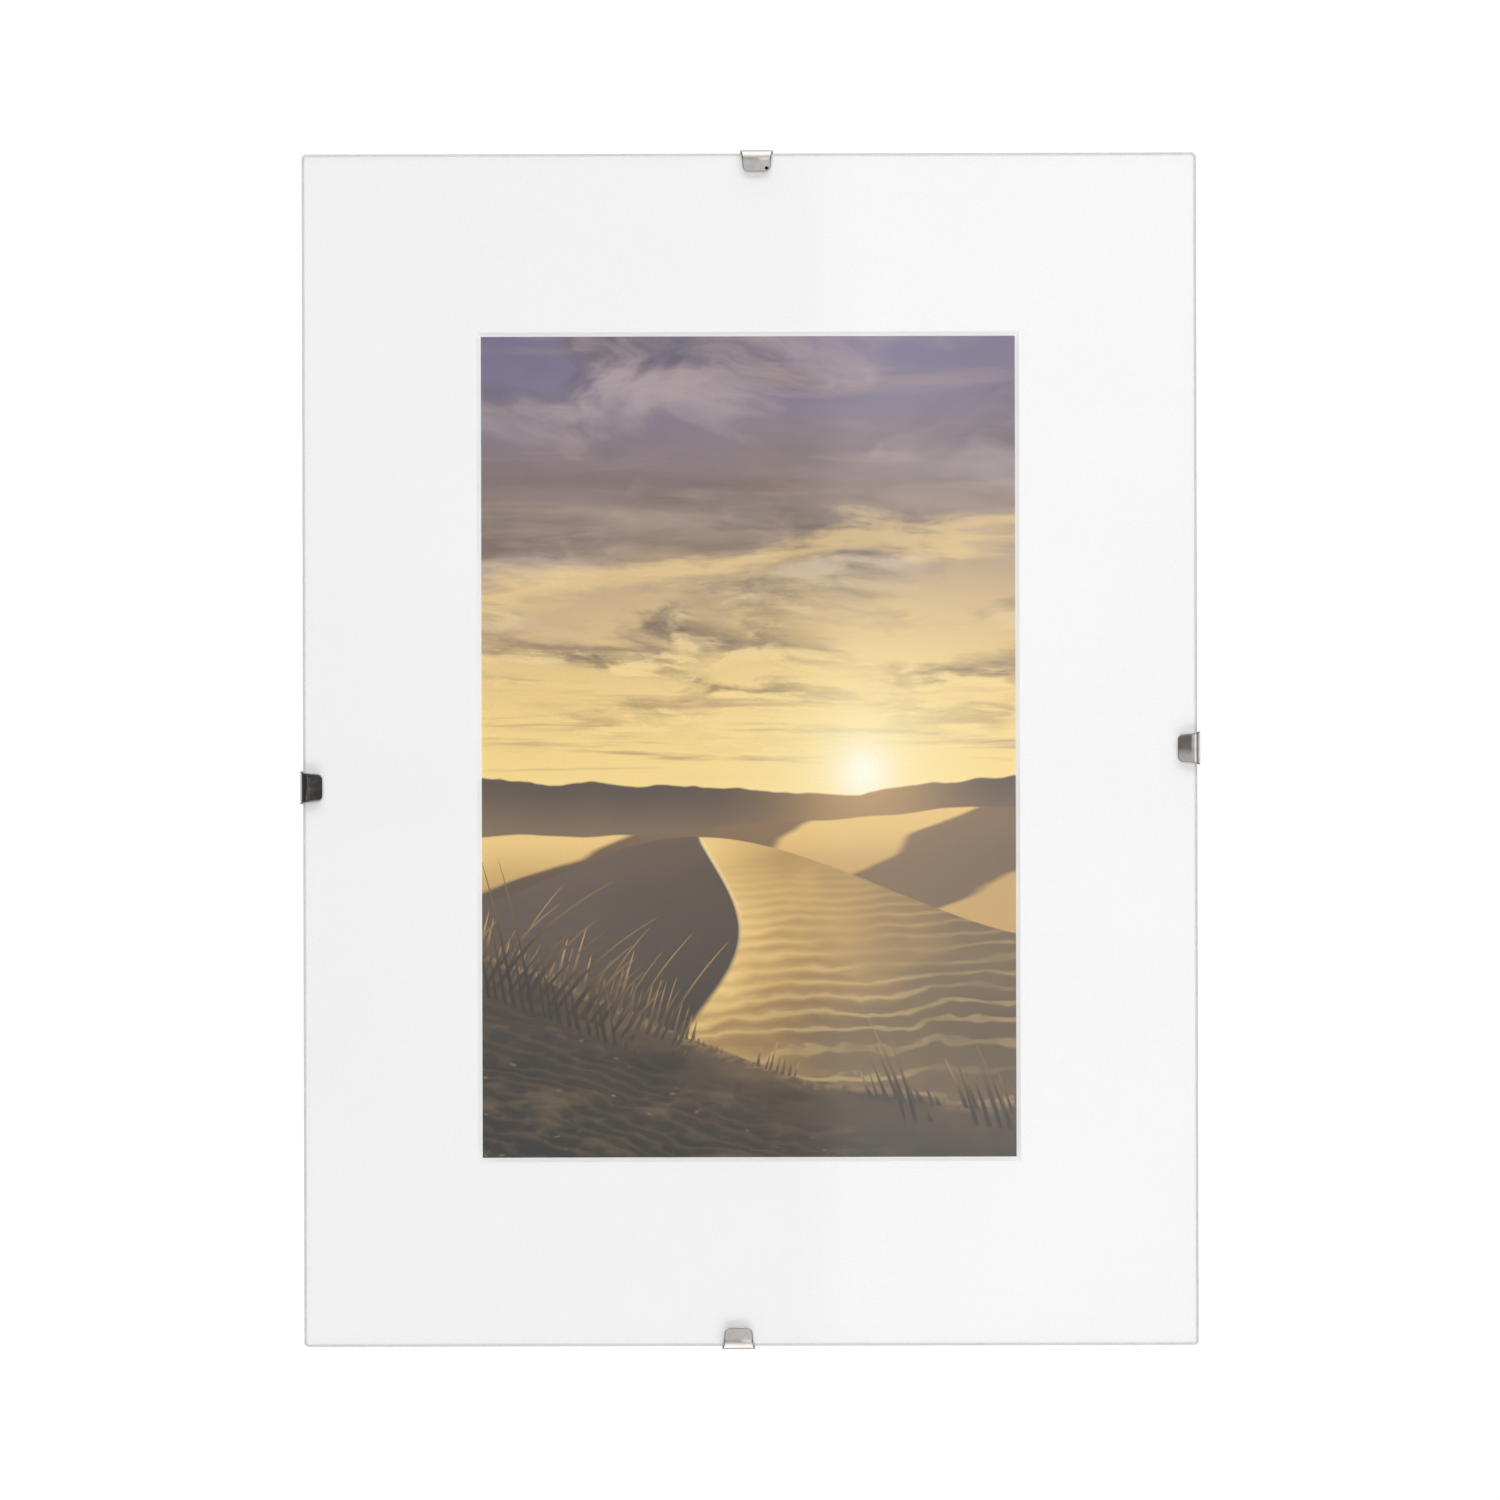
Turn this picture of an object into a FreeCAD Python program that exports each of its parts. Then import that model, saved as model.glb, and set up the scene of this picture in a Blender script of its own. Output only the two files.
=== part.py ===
"""Frameless clip frame, 300 x 400 mm: glass, bevelled window mat, print, hardboard back, four spring clips and two sawtooth hangers.

Millimetres, +Z up. The front faces -Y and the wall is the plane Y = 0.
The origin is the nail's place: the top of the middle notch of the portrait hanger, in the wall plane.
"""
import FreeCAD, Part
import math
import os

V = FreeCAD.Vector

# ---------------------------------------------------------------- driving dimensions
FRAME_W = 300.0            # glass, mat and board, across
FRAME_H = 400.0            # glass, mat and board, up

GLASS_T = 2.0              # glass thickness
GLASS_EDGE_R = 0.9         # the edge is ground round, almost to a full pencil edge
GLASS_DUB = 1.0            # small chamfer at the four corners

MAT_T = 1.4                # window mat thickness
MAT_SHORT = 0.25           # the mat is cut this much smaller than the glass on each side
WINDOW_W = 179.4           # visible picture, across (the opening at the back of the mat)
WINDOW_H = 275.8           # visible picture, up
WINDOW_DX = -0.5           # the opening's centre from the frame's centre, across
WINDOW_DZ = 1.0            # and up
BEVEL = MAT_T              # the 45 degree bevel is as wide as the mat is thick

PRINT_W, PRINT_H, PRINT_T = 200.0, 300.0, 0.22
LAYER_T = 0.30             # the print's layer: the print and the tape behind it
TAPE_W, TAPE_T = 22.0, 0.08
TAPE_ON_PRINT, TAPE_ON_MAT = 11.0, 15.0
TAPE_X = 62.0              # from the print's centre line to each tape's centre

BOARD_T = 3.0              # hardboard back
BOARD_EASE = 0.25          # eased edge all round the back face

WALL_GAP = 2.2             # from the board's back face to the wall, set by the hangers' bridge

CLIP_T = 0.5               # spring steel strip
CLIP_W_WALL = 11.0         # width at the side wall and its bends
CLIP_W_LIP = 9.9           # width where the lip starts
CLIP_W_TIP = 9.0           # width near the lip's tip
CLIP_W_HOOK = 9.0          # width at the hook
CLIP_TIP_R = 1.6           # rounded corners of the lip
LIP_REACH = 6.1            # the lips of the top and bottom clips reach this far over the glass
LIP_REACH_SIDE = 6.6       # and those at the sides
LIP_GAP = 0.06             # left under its tip, which bears on the glass
CREST = 1.33               # the underside of the front bend's corner stands this far off the glass
WALL_U = 0.85              # the side wall's middle, outside the glass edge
FRONT_BEND_R = 2.4         # the front bend's radius at the strip's middle
REAR_BEND_R = 1.15         # and the rear bend's
CLIP_TRAVEL = 8.0          # how far a clip is drawn out to free the glass

SLOT_IN, SLOT_OUT = 24.0, 14.0   # the board's slots, from the edge
SLOT_W = 10.6
SLOT_R = 1.0
HOOK_U = 22.95             # the hook's middle, from the edge
HOOK_DEPTH = 2.35          # how far the hook reaches into the board
TONGUE_TOUCH_U = 12.4      # where the tongue bears on the board's back
TONGUE_GAP = 0.06          # left under it
TONGUE_BEND_R = 12.0
TONGUE_LIFT = 1.05         # the tongue's height over the board at the rear bend
HOOK_LIFT = 0.75           # and over the slot, at the hook

# where each clip sits along its edge, from the middle of that edge
CLIP_TOP_X = 2.65
CLIP_RIGHT_Z = 0.2
CLIP_BOTTOM_X = -4.35
CLIP_LEFT_Z = -12.45

HANGER_L, HANGER_W, HANGER_T = 46.0, 10.0, 0.6
HANGER_BRIDGE = 26.0       # length of the raised middle
HANGER_RISE = WALL_GAP - HANGER_T
TOOTH_PITCH, TOOTH_DEPTH, TEETH = 2.5, 1.25, 9
HANGER_Z = 150.0           # portrait hanger's centre over the frame's centre
HANGER_X = -100.0          # landscape hanger's centre from the frame's centre
RIVET_S = 18.6             # rivets from the hanger's centre, along it
RIVET_R, RIVET_HEAD_R, RIVET_HEAD_H = 0.95, 2.1, 0.9
RIVET_FOOT_R, RIVET_FOOT_H = 1.7, 0.55
RIVET_CLEAR = 0.05

# ---------------------------------------------------------------- derived places
Y_BOARD_BACK = -WALL_GAP
Y_BOARD_FRONT = Y_BOARD_BACK - BOARD_T
Y_MAT_BACK = Y_BOARD_FRONT - LAYER_T
Y_MAT_FRONT = Y_MAT_BACK - MAT_T
Y_GLASS_BACK = Y_MAT_FRONT
Y_GLASS_FRONT = Y_GLASS_BACK - GLASS_T
# the frame's centre, under the notch that the nail carries
CZ = -(HANGER_Z - HANGER_W / 2 + TOOTH_DEPTH)


def box(x0, x1, y0, y1, z0, z1):
    return Part.makeBox(x1 - x0, y1 - y0, z1 - z0, V(x0, y0, z0))


def save(name, shape):
    solids = shape.Solids
    for s in solids:
        if not s.isValid() or s.Volume <= 0:
            raise ValueError(name + " has a bad solid")
    out = solids[0] if len(solids) == 1 else Part.makeCompound(solids)
    out.exportStep("parts/" + name + ".step")
    b = out.BoundBox
    print(
        "%-26s solids %d  volume %10.2f mm3  x %8.2f %8.2f  y %7.2f %7.2f  z %8.2f %8.2f"
        % (name, len(solids), sum(s.Volume for s in solids), b.XMin, b.XMax, b.YMin, b.YMax, b.ZMin, b.ZMax)
    )


def bent_strip(points, radii, t, place):
    """A face for a bent strip of thickness t. points are the strip's middle line in (u, y), radii the bend radii at the inner points, and place turns (u, y) into a point."""
    n = len(points)
    p = [V(u, y, 0) for u, y in points]
    way = [(p[i + 1] - p[i]).normalize() for i in range(n - 1)]

    def line(q, r):
        return Part.LineSegment(place(q.x, q.y), place(r.x, r.y)).toShape()

    def side(sign):
        edges, last, first = [], None, None
        for i in range(n):
            if i in (0, n - 1):
                d = way[0] if i == 0 else way[-1]
                q = p[i] + V(-d.y, d.x, 0) * (sign * t / 2)
                if i == 0:
                    first = q
                else:
                    edges.append(line(last, q))
                last = q
                continue
            a, b, r = way[i - 1], way[i], radii[i - 1]
            turn = math.atan2(a.cross(b).z, a.dot(b))
            cut = r * math.tan(abs(turn) / 2)
            s = 1 if turn > 0 else -1
            start, end = p[i] - a * cut, p[i] + b * cut
            centre = start + V(-a.y, a.x, 0) * (s * r)
            ro = r - s * sign * t / 2
            q0 = centre + (start - centre).normalize() * ro
            q1 = centre + (end - centre).normalize() * ro
            m = centre + ((start - centre).normalize() + (end - centre).normalize()).normalize() * ro
            edges.append(line(last, q0))
            edges.append(Part.Arc(place(q0.x, q0.y), place(m.x, m.y), place(q1.x, q1.y)).toShape())
            last = q1
        return edges, first, last

    left, left_start, left_end = side(1)
    right, right_start, right_end = side(-1)
    edges = left + [line(left_end, right_end)] + list(reversed(right)) + [line(right_start, left_start)]
    return Part.Face(Part.Wire(Part.__sortEdges__(edges)))


def round_end_plate(outline, y0, y1):
    """A plate between y0 and y1 whose outline is a list of (x, z, corner radius)."""
    n = len(outline)
    edges, first, last = [], None, None
    for i in range(n):
        x, z, r = outline[i]
        q = V(x, y0, z)
        a = (q - V(outline[i - 1][0], y0, outline[i - 1][1])).normalize()
        nx, nz, _ = outline[(i + 1) % n]
        b = (V(nx, y0, nz) - q).normalize()
        if r:
            turn = math.acos(max(-1, min(1, a.dot(b))))
            cut = r * math.tan(turn / 2)
            s, e = q - a * cut, q + b * cut
            inward = (b - a).normalize()
            centre = q + inward * (r / math.cos(turn / 2))
            mid = centre - inward * r
            start, end, arc = s, e, Part.Arc(s, mid, e).toShape()
        else:
            start, end, arc = q, q, None
        if last is not None:
            edges.append(Part.LineSegment(last, start).toShape())
        else:
            first = start
        if arc is not None:
            edges.append(arc)
        last = end
    edges.append(Part.LineSegment(last, first).toShape())
    face = Part.Face(Part.Wire(edges))
    return face.extrude(V(0, y1 - y0, 0))


# ---------------------------------------------------------------- sheets
def make_glass():
    w, h = FRAME_W / 2, FRAME_H / 2
    d = GLASS_DUB
    g = round_end_plate(
        [
            (-w + d, CZ - h, 0), (w - d, CZ - h, 0), (w, CZ - h + d, 0), (w, CZ + h - d, 0),
            (w - d, CZ + h, 0), (-w + d, CZ + h, 0), (-w, CZ + h - d, 0), (-w, CZ - h + d, 0),
        ],
        Y_GLASS_FRONT, Y_GLASS_BACK,
    )
    rims = [
        e for e in g.Edges
        if abs(e.Vertexes[0].Point.y - e.Vertexes[-1].Point.y) < 1e-6
    ]
    return g.makeFillet(GLASS_EDGE_R, rims)


def make_mat():
    w, h = FRAME_W / 2 - MAT_SHORT, FRAME_H / 2 - MAT_SHORT
    sheet = box(-w, w, Y_MAT_FRONT, Y_MAT_BACK, CZ - h, CZ + h)
    x0, x1 = WINDOW_DX - WINDOW_W / 2, WINDOW_DX + WINDOW_W / 2
    z0, z1 = CZ + WINDOW_DZ - WINDOW_H / 2, CZ + WINDOW_DZ + WINDOW_H / 2

    def ring(y, grow):
        return [
            V(x0 - grow, y, z0 - grow), V(x1 + grow, y, z0 - grow),
            V(x1 + grow, y, z1 + grow), V(x0 - grow, y, z1 + grow),
        ]

    # the cutter passes both faces of the sheet, with the bevel's slope throughout
    over = 0.5
    a, b = ring(Y_MAT_BACK + over, -over * BEVEL / MAT_T), ring(Y_MAT_FRONT - over, BEVEL + over * BEVEL / MAT_T)
    rings = [a, b] + [[a[i], a[(i + 1) % 4], b[(i + 1) % 4], b[i]] for i in range(4)]
    cutter = Part.Solid(Part.Shell([Part.Face(Part.makePolygon(r + [r[0]])) for r in rings]))
    if cutter.Volume < 0:
        cutter.reverse()
    return sheet.cut(cutter)


def make_print():
    y0 = Y_MAT_BACK
    return box(
        WINDOW_DX - PRINT_W / 2, WINDOW_DX + PRINT_W / 2, y0, y0 + PRINT_T,
        CZ + WINDOW_DZ - PRINT_H / 2, CZ + WINDOW_DZ + PRINT_H / 2,
    )


def make_tapes():
    """Each tape lies on the back of the print, steps over its top edge and lies on the back of the mat."""
    top = CZ + WINDOW_DZ + PRINT_H / 2
    t = TAPE_T
    back = Y_MAT_BACK + PRINT_T + t
    front = Y_MAT_BACK + t
    gap = 0.12
    prof = [
        (back - t, top - TAPE_ON_PRINT), (back - t, top + gap - t * 0.4), (front - t, top + gap + 0.5),
        (front - t, top + TAPE_ON_MAT), (front, top + TAPE_ON_MAT), (front, top + gap + 0.5 + t * 0.4),
        (back, top + gap), (back, top - TAPE_ON_PRINT),
    ]
    out = []
    for x in (-TAPE_X, TAPE_X):
        x0 = WINDOW_DX + x - TAPE_W / 2
        pts = [V(x0, y, z) for y, z in prof]
        face = Part.Face(Part.makePolygon(pts + [pts[0]]))
        out.append(face.extrude(V(TAPE_W, 0, 0)))
    return Part.makeCompound(out)


# ---------------------------------------------------------------- clips
# A clip is drawn for the top edge: u is outward (+Z), the strip runs across in X, and u = 0 is the glass edge.
def clip_sides():
    """(angle about Y, place of the edge's middle) for top, right, bottom and left."""
    w, h = FRAME_W / 2, FRAME_H / 2
    return {
        "clip_top": (0, V(CLIP_TOP_X, 0, CZ + h)),
        "clip_right": (90, V(w, 0, CZ + CLIP_RIGHT_Z)),
        "clip_bottom": (180, V(CLIP_BOTTOM_X, 0, CZ - h)),
        "clip_left": (270, V(-w, 0, CZ + CLIP_LEFT_Z)),
    }


def on_side(shape, name):
    angle, place = clip_sides()[name]
    s = shape.copy()
    s.rotate(V(0, 0, 0), V(0, 1, 0), angle)
    s.translate(place)
    return s


def eased(a, p, b, r):
    """How far an arc of radius r at corner p, between a and b, stays from the corner."""
    u, v = (V(p[0] - a[0], p[1] - a[1], 0)).normalize(), (V(b[0] - p[0], b[1] - p[1], 0)).normalize()
    return r * (1 / math.cos(u.getAngle(v) / 2) - 1)


def clip_path(reach):
    """The strip's middle line from the lip's tip to the hook's end, and the radii of its bends."""
    t = CLIP_T / 2
    g, b = Y_GLASS_FRONT, Y_BOARD_BACK
    points = [
        (-reach, g - t - LIP_GAP),
        (WALL_U, g - t - CREST),
        (WALL_U, b + t + TONGUE_LIFT),
        (-TONGUE_TOUCH_U, b + t + TONGUE_GAP),
        (-HOOK_U, b + t + HOOK_LIFT),
        (-HOOK_U, b - HOOK_DEPTH),
    ]
    radii = [FRONT_BEND_R, REAR_BEND_R, TONGUE_BEND_R, 0.75]
    # rounding a corner lifts the strip off what it bears on, so the tongue's bearing corner is set nearer by as much
    x, y = points[3]
    points[3] = (x, y - eased(points[2], points[3], points[4], radii[2]))
    return points, radii


def make_clip(reach):
    points, radii = clip_path(reach)
    wide = CLIP_W_WALL / 2
    face = bent_strip(points, radii, CLIP_T, lambda u, y: V(-wide, y, u))
    strip = face.extrude(V(2 * wide, 0, 0))
    # what the strip's blank looks like from the front: the lip in front of the glass, and the wall with the tongue behind it
    over = WALL_U + CLIP_T + 3
    mid = (Y_GLASS_FRONT + Y_BOARD_BACK) / 2
    lip, tip, hook = CLIP_W_LIP / 2, CLIP_W_TIP / 2, CLIP_W_HOOK / 2
    front = round_end_plate(
        [
            (-wide, over, 0), (-wide, 0.95, 0.5), (-lip, -0.45, 0.8), (-tip, -reach - 0.05, CLIP_TIP_R),
            (tip, -reach - 0.05, CLIP_TIP_R), (lip, -0.45, 0.8), (wide, 0.95, 0.5), (wide, over, 0),
        ],
        Y_GLASS_FRONT - 6, mid,
    )
    back = round_end_plate(
        [
            (-wide, over, 0), (-wide, -7.5, 3.0), (-hook, -13.2, 3.0), (-hook, -HOOK_U - 1.5, 0),
            (hook, -HOOK_U - 1.5, 0), (hook, -13.2, 3.0), (wide, -7.5, 3.0), (wide, over, 0),
        ],
        mid, 6,
    )
    return strip.common(front.fuse(back)).removeSplitter()


def make_slot(name):
    s = round_end_plate(
        [
            (-SLOT_W / 2, -SLOT_OUT, SLOT_R), (-SLOT_W / 2, -SLOT_IN, SLOT_R),
            (SLOT_W / 2, -SLOT_IN, SLOT_R), (SLOT_W / 2, -SLOT_OUT, SLOT_R),
        ],
        Y_BOARD_FRONT - 1, Y_BOARD_BACK + 1,
    )
    return on_side(s, name)


# ---------------------------------------------------------------- hangers
# A hanger is drawn lying along X with its teeth down (-Z) and its centre at x = 0, z = 0.
def hanger_places():
    return {
        "portrait": (0, V(0, 0, CZ + HANGER_Z)),
        "landscape": (-90, V(HANGER_X, 0, CZ)),
    }


def on_hanger(shape, which):
    angle, place = hanger_places()[which]
    s = shape.copy()
    s.rotate(V(0, 0, 0), V(0, 1, 0), angle)
    s.translate(place)
    return s


def make_hanger():
    t = HANGER_T / 2
    b = Y_BOARD_BACK
    half, raised = HANGER_L / 2, HANGER_BRIDGE / 2
    foot = raised + HANGER_RISE * 1.1
    points = [
        (-half, b + t), (-foot, b + t), (-raised, b + HANGER_RISE + t),
        (raised, b + HANGER_RISE + t), (foot, b + t), (half, b + t),
    ]
    face = bent_strip(points, [0.9, 0.9, 0.9, 0.9], HANGER_T, lambda u, y: V(u, y, -HANGER_W / 2))
    strip = face.extrude(V(0, 0, HANGER_W))
    w, r = HANGER_W / 2, HANGER_W / 2 - 0.01
    outline = [(-half, -w, r), (half, -w, r), (half, w, r), (-half, w, r)]
    blank = round_end_plate(outline, b - 1, 2)
    # a row of V notches along the lower edge of the bridge
    for i in range(TEETH):
        x = (i - (TEETH - 1) / 2) * TOOTH_PITCH
        d = TOOTH_DEPTH
        pts = [V(x - d - 0.5, b - 1, -w - 0.5), V(x + d + 0.5, b - 1, -w - 0.5), V(x, b - 1, -w + d)]
        notch = Part.Face(Part.makePolygon(pts + [pts[0]])).extrude(V(0, 4, 0))
        blank = blank.cut(notch)
    for x in (-RIVET_S, RIVET_S):
        blank = blank.cut(Part.makeCylinder(RIVET_R + RIVET_CLEAR, 6, V(x, b - 2, 0), V(0, 1, 0)))
    return strip.common(blank).removeSplitter()


def make_rivets():
    """Round heads on the hanger's feet, shanks through the board, and a clinched foot sunk in its front."""
    up = V(0, 1, 0)
    head_y = Y_BOARD_BACK + HANGER_T
    foot_y = Y_BOARD_FRONT + 0.05
    rim = 0.15
    dome = RIVET_HEAD_H - rim
    ball = (RIVET_HEAD_R ** 2 + dome ** 2) / (2 * dome)
    out = []
    for x in (-RIVET_S, RIVET_S):
        sphere = Part.makeSphere(ball, V(x, head_y + rim + dome - ball, 0))
        crown = sphere.common(Part.makeCylinder(RIVET_HEAD_R, dome + 1, V(x, head_y + rim, 0), up))
        head = Part.makeCylinder(RIVET_HEAD_R, rim, V(x, head_y, 0), up).fuse(crown)
        shank = Part.makeCylinder(RIVET_R, head_y - foot_y, V(x, foot_y, 0), up)
        flat = RIVET_FOOT_H * 0.45
        foot = Part.makeCylinder(RIVET_FOOT_R, flat, V(x, foot_y, 0), up)
        foot = foot.fuse(Part.makeCone(RIVET_FOOT_R, RIVET_R, RIVET_FOOT_H - flat, V(x, foot_y + flat, 0), up))
        out.append(head.fuse(shank).fuse(foot).removeSplitter())
    return Part.makeCompound(out)


def make_board():
    w, h = FRAME_W / 2, FRAME_H / 2
    board = box(-w, w, Y_BOARD_FRONT, Y_BOARD_BACK, CZ - h, CZ + h)
    rims = [e for e in board.Edges if all(abs(v.Point.y - Y_BOARD_BACK) < 1e-6 for v in e.Vertexes)]
    board = board.makeChamfer(BOARD_EASE, rims)
    for name in clip_sides():
        board = board.cut(make_slot(name))
    for which in hanger_places():
        for x in (-RIVET_S, RIVET_S):
            hole = Part.makeCylinder(RIVET_R + RIVET_CLEAR, 8, V(x, Y_BOARD_FRONT - 1, 0), V(0, 1, 0))
            sink = Part.makeCylinder(
                RIVET_FOOT_R + RIVET_CLEAR, RIVET_FOOT_H + 0.15, V(x, Y_BOARD_FRONT - 0.01, 0), V(0, 1, 0)
            )
            board = board.cut(on_hanger(hole.fuse(sink), which))
    return board


def main():
    os.makedirs("parts", exist_ok=True)
    for old in os.listdir("parts"):
        if old.endswith(".step"):
            os.remove(os.path.join("parts", old))
    save("glass_sheet", make_glass())
    save("window_mat", make_mat())
    save("picture_print", make_print())
    save("print_tapes", make_tapes())
    save("back_board", make_board())
    level, upright = make_clip(LIP_REACH), make_clip(LIP_REACH_SIDE)
    for name in clip_sides():
        save(name, on_side(upright if name in ("clip_right", "clip_left") else level, name))
    hanger, rivets = make_hanger(), make_rivets()
    for which in hanger_places():
        save("hanger_" + which, on_hanger(hanger, which))
        save("hanger_rivets_" + which, on_hanger(rivets, which))


main()
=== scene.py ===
import math

import bmesh
import bpy
from mathutils import Matrix, Vector

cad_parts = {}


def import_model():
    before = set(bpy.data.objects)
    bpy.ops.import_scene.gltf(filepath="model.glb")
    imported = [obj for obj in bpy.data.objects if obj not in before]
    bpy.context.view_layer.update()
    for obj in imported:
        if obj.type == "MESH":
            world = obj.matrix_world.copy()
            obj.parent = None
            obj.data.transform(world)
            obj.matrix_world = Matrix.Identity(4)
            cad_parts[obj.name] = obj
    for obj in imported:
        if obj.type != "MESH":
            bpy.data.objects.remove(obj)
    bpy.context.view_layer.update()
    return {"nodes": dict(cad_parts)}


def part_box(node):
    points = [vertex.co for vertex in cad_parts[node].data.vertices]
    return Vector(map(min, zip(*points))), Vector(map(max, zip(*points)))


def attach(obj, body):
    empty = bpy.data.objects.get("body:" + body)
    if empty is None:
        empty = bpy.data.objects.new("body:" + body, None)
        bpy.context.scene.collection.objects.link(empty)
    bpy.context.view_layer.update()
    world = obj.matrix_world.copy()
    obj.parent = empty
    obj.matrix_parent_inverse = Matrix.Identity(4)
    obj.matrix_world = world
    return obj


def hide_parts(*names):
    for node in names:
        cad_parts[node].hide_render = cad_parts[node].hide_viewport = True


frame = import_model()
MM = 0.001

# ------------------------------------------------------------------ where things are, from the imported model
GLASS_LO, GLASS_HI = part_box("glass_sheet")
MAT_LO, MAT_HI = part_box("window_mat")
PRINT_LO, PRINT_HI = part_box("picture_print")
BOARD_LO, BOARD_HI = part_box("back_board")
CZ = (GLASS_LO.z + GLASS_HI.z) / 2
WINDOW_W, WINDOW_H = 179.4 * MM, 275.8 * MM
WINDOW_X, WINDOW_Z = -0.5 * MM, CZ + 1.0 * MM


# ------------------------------------------------------------------ small helpers
def lin(r, g, b):
    """A linear colour from 0-255 display values."""
    out = []
    for c in (r, g, b):
        c /= 255
        out.append(c / 12.92 if c <= 0.04045 else ((c + 0.055) / 1.055) ** 2.4)
    return (*out, 1.0)


class Num:
    """A socket that carries a number, with arithmetic that adds Math nodes."""

    def __init__(self, tree, socket):
        self.tree, self.socket = tree, socket

    def __add__(self, other):
        return self.tree.math("ADD", self, other)

    __radd__ = __add__

    def __sub__(self, other):
        return self.tree.math("SUBTRACT", self, other)

    def __rsub__(self, other):
        return self.tree.math("SUBTRACT", other, self)

    def __mul__(self, other):
        return self.tree.math("MULTIPLY", self, other)

    __rmul__ = __mul__

    def __truediv__(self, other):
        return self.tree.math("DIVIDE", self, other)

    def __rtruediv__(self, other):
        return self.tree.math("DIVIDE", other, self)

    def __pow__(self, other):
        return self.tree.math("POWER", self, other)

    def __neg__(self):
        return self.tree.math("MULTIPLY", self, -1.0)


class Tree:
    """A material's or world's node tree, with short calls for the nodes used here."""

    def __init__(self, owner):
        owner.use_nodes = True
        self.nt = owner.node_tree
        self.nt.nodes.clear()

    def node(self, kind, **props):
        n = self.nt.nodes.new("ShaderNode" + kind)
        for k, v in props.items():
            setattr(n, k, v)
        return n

    def put(self, value, socket):
        if isinstance(value, Num):
            self.nt.links.new(value.socket, socket)
        elif isinstance(value, bpy.types.NodeSocket):
            self.nt.links.new(value, socket)
        elif value is not None:
            socket.default_value = value

    def math(self, op, a, b=None, c=None, clamp=False):
        n = self.node("Math", operation=op, use_clamp=clamp)
        for value, socket in zip((a, b, c), n.inputs):
            self.put(value, socket)
        return Num(self, n.outputs[0])

    def low(self, a, b):
        return self.math("MINIMUM", a, b)

    def high(self, a, b):
        return self.math("MAXIMUM", a, b)

    def sin(self, a):
        return self.math("SINE", a)

    def absolute(self, a):
        return self.math("ABSOLUTE", a)

    def floor(self, a):
        return self.math("FLOOR", a)

    def clamp(self, a):
        return self.math("ADD", a, 0.0, clamp=True)

    def smooth(self, a, lo, hi, to_lo=0.0, to_hi=1.0):
        """Smooth step from to_lo at lo to to_hi at hi. lo and hi may be numbers or sockets."""
        n = self.node("MapRange", interpolation_type="SMOOTHSTEP")
        for value, name in ((a, "Value"), (lo, "From Min"), (hi, "From Max"), (to_lo, "To Min"), (to_hi, "To Max")):
            self.put(value, n.inputs[name])
        return Num(self, n.outputs["Result"])

    def linear(self, a, lo, hi, to_lo=0.0, to_hi=1.0):
        n = self.node("MapRange", interpolation_type="LINEAR")
        for value, name in ((a, "Value"), (lo, "From Min"), (hi, "From Max"), (to_lo, "To Min"), (to_hi, "To Max")):
            self.put(value, n.inputs[name])
        return Num(self, n.outputs["Result"])

    def xyz(self, x=0.0, y=0.0, z=0.0):
        n = self.node("CombineXYZ")
        for value, socket in zip((x, y, z), n.inputs):
            self.put(value, socket)
        return n.outputs[0]

    def parts(self, vector):
        n = self.node("SeparateXYZ")
        self.put(vector, n.inputs[0])
        return [Num(self, o) for o in n.outputs]

    def mapped(self, scale, location=(0.0, 0.0, 0.0)):
        """The place on the object, scaled and then moved."""
        n = self.node("Mapping")
        self.put(self.here(), n.inputs["Vector"])
        n.inputs["Scale"].default_value = scale
        n.inputs["Location"].default_value = location
        return n.outputs[0]

    def noise(self, vector, scale=1.0, detail=3.0, rough=0.5, distort=0.0, dims="3D", w=None):
        n = self.node("TexNoise", noise_dimensions=dims)
        if dims != "1D":
            self.put(vector, n.inputs["Vector"])
        if w is not None:
            self.put(w, n.inputs["W"])
        for value, name in ((scale, "Scale"), (detail, "Detail"), (rough, "Roughness"), (distort, "Distortion")):
            self.put(value, n.inputs[name])
        return Num(self, n.outputs[0])

    def cells(self, vector, scale, feature="F1", randomness=1.0, out="Distance"):
        n = self.node("TexVoronoi", feature=feature)
        self.put(vector, n.inputs["Vector"])
        self.put(scale, n.inputs["Scale"])
        self.put(randomness, n.inputs["Randomness"])
        return Num(self, n.outputs[out])

    def chance(self, value):
        """Three random numbers from 0 to 1 for each whole number."""
        n = self.node("TexWhiteNoise", noise_dimensions="1D")
        self.put(value, n.inputs["W"])
        c = self.node("SeparateColor")
        self.put(n.outputs["Color"], c.inputs[0])
        return [Num(self, o) for o in c.outputs]

    def mix(self, share, a, b, blend="MIX"):
        n = self.node("Mix", data_type="RGBA", blend_type=blend, clamp_factor=True)
        for value, socket in ((share, n.inputs[0]), (a, n.inputs[6]), (b, n.inputs[7])):
            self.put(value, socket)
        return n.outputs[2]

    def ramp(self, share, stops, mode="LINEAR"):
        n = self.node("ValToRGB")
        self.put(share, n.inputs[0])
        r = n.color_ramp
        r.interpolation = mode
        while len(r.elements) > 1:
            r.elements.remove(r.elements[-1])
        r.elements[0].position, r.elements[0].color = stops[0][0], stops[0][1]
        for place, colour in stops[1:]:
            r.elements.new(place).color = colour
        return n.outputs[0]

    def bump(self, height, distance, strength=1.0, normal=None):
        n = self.node("Bump")
        self.put(height, n.inputs["Height"])
        self.put(distance, n.inputs["Distance"])
        self.put(strength, n.inputs["Strength"])
        if normal is not None:
            self.put(normal, n.inputs["Normal"])
        return n.outputs[0]

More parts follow.
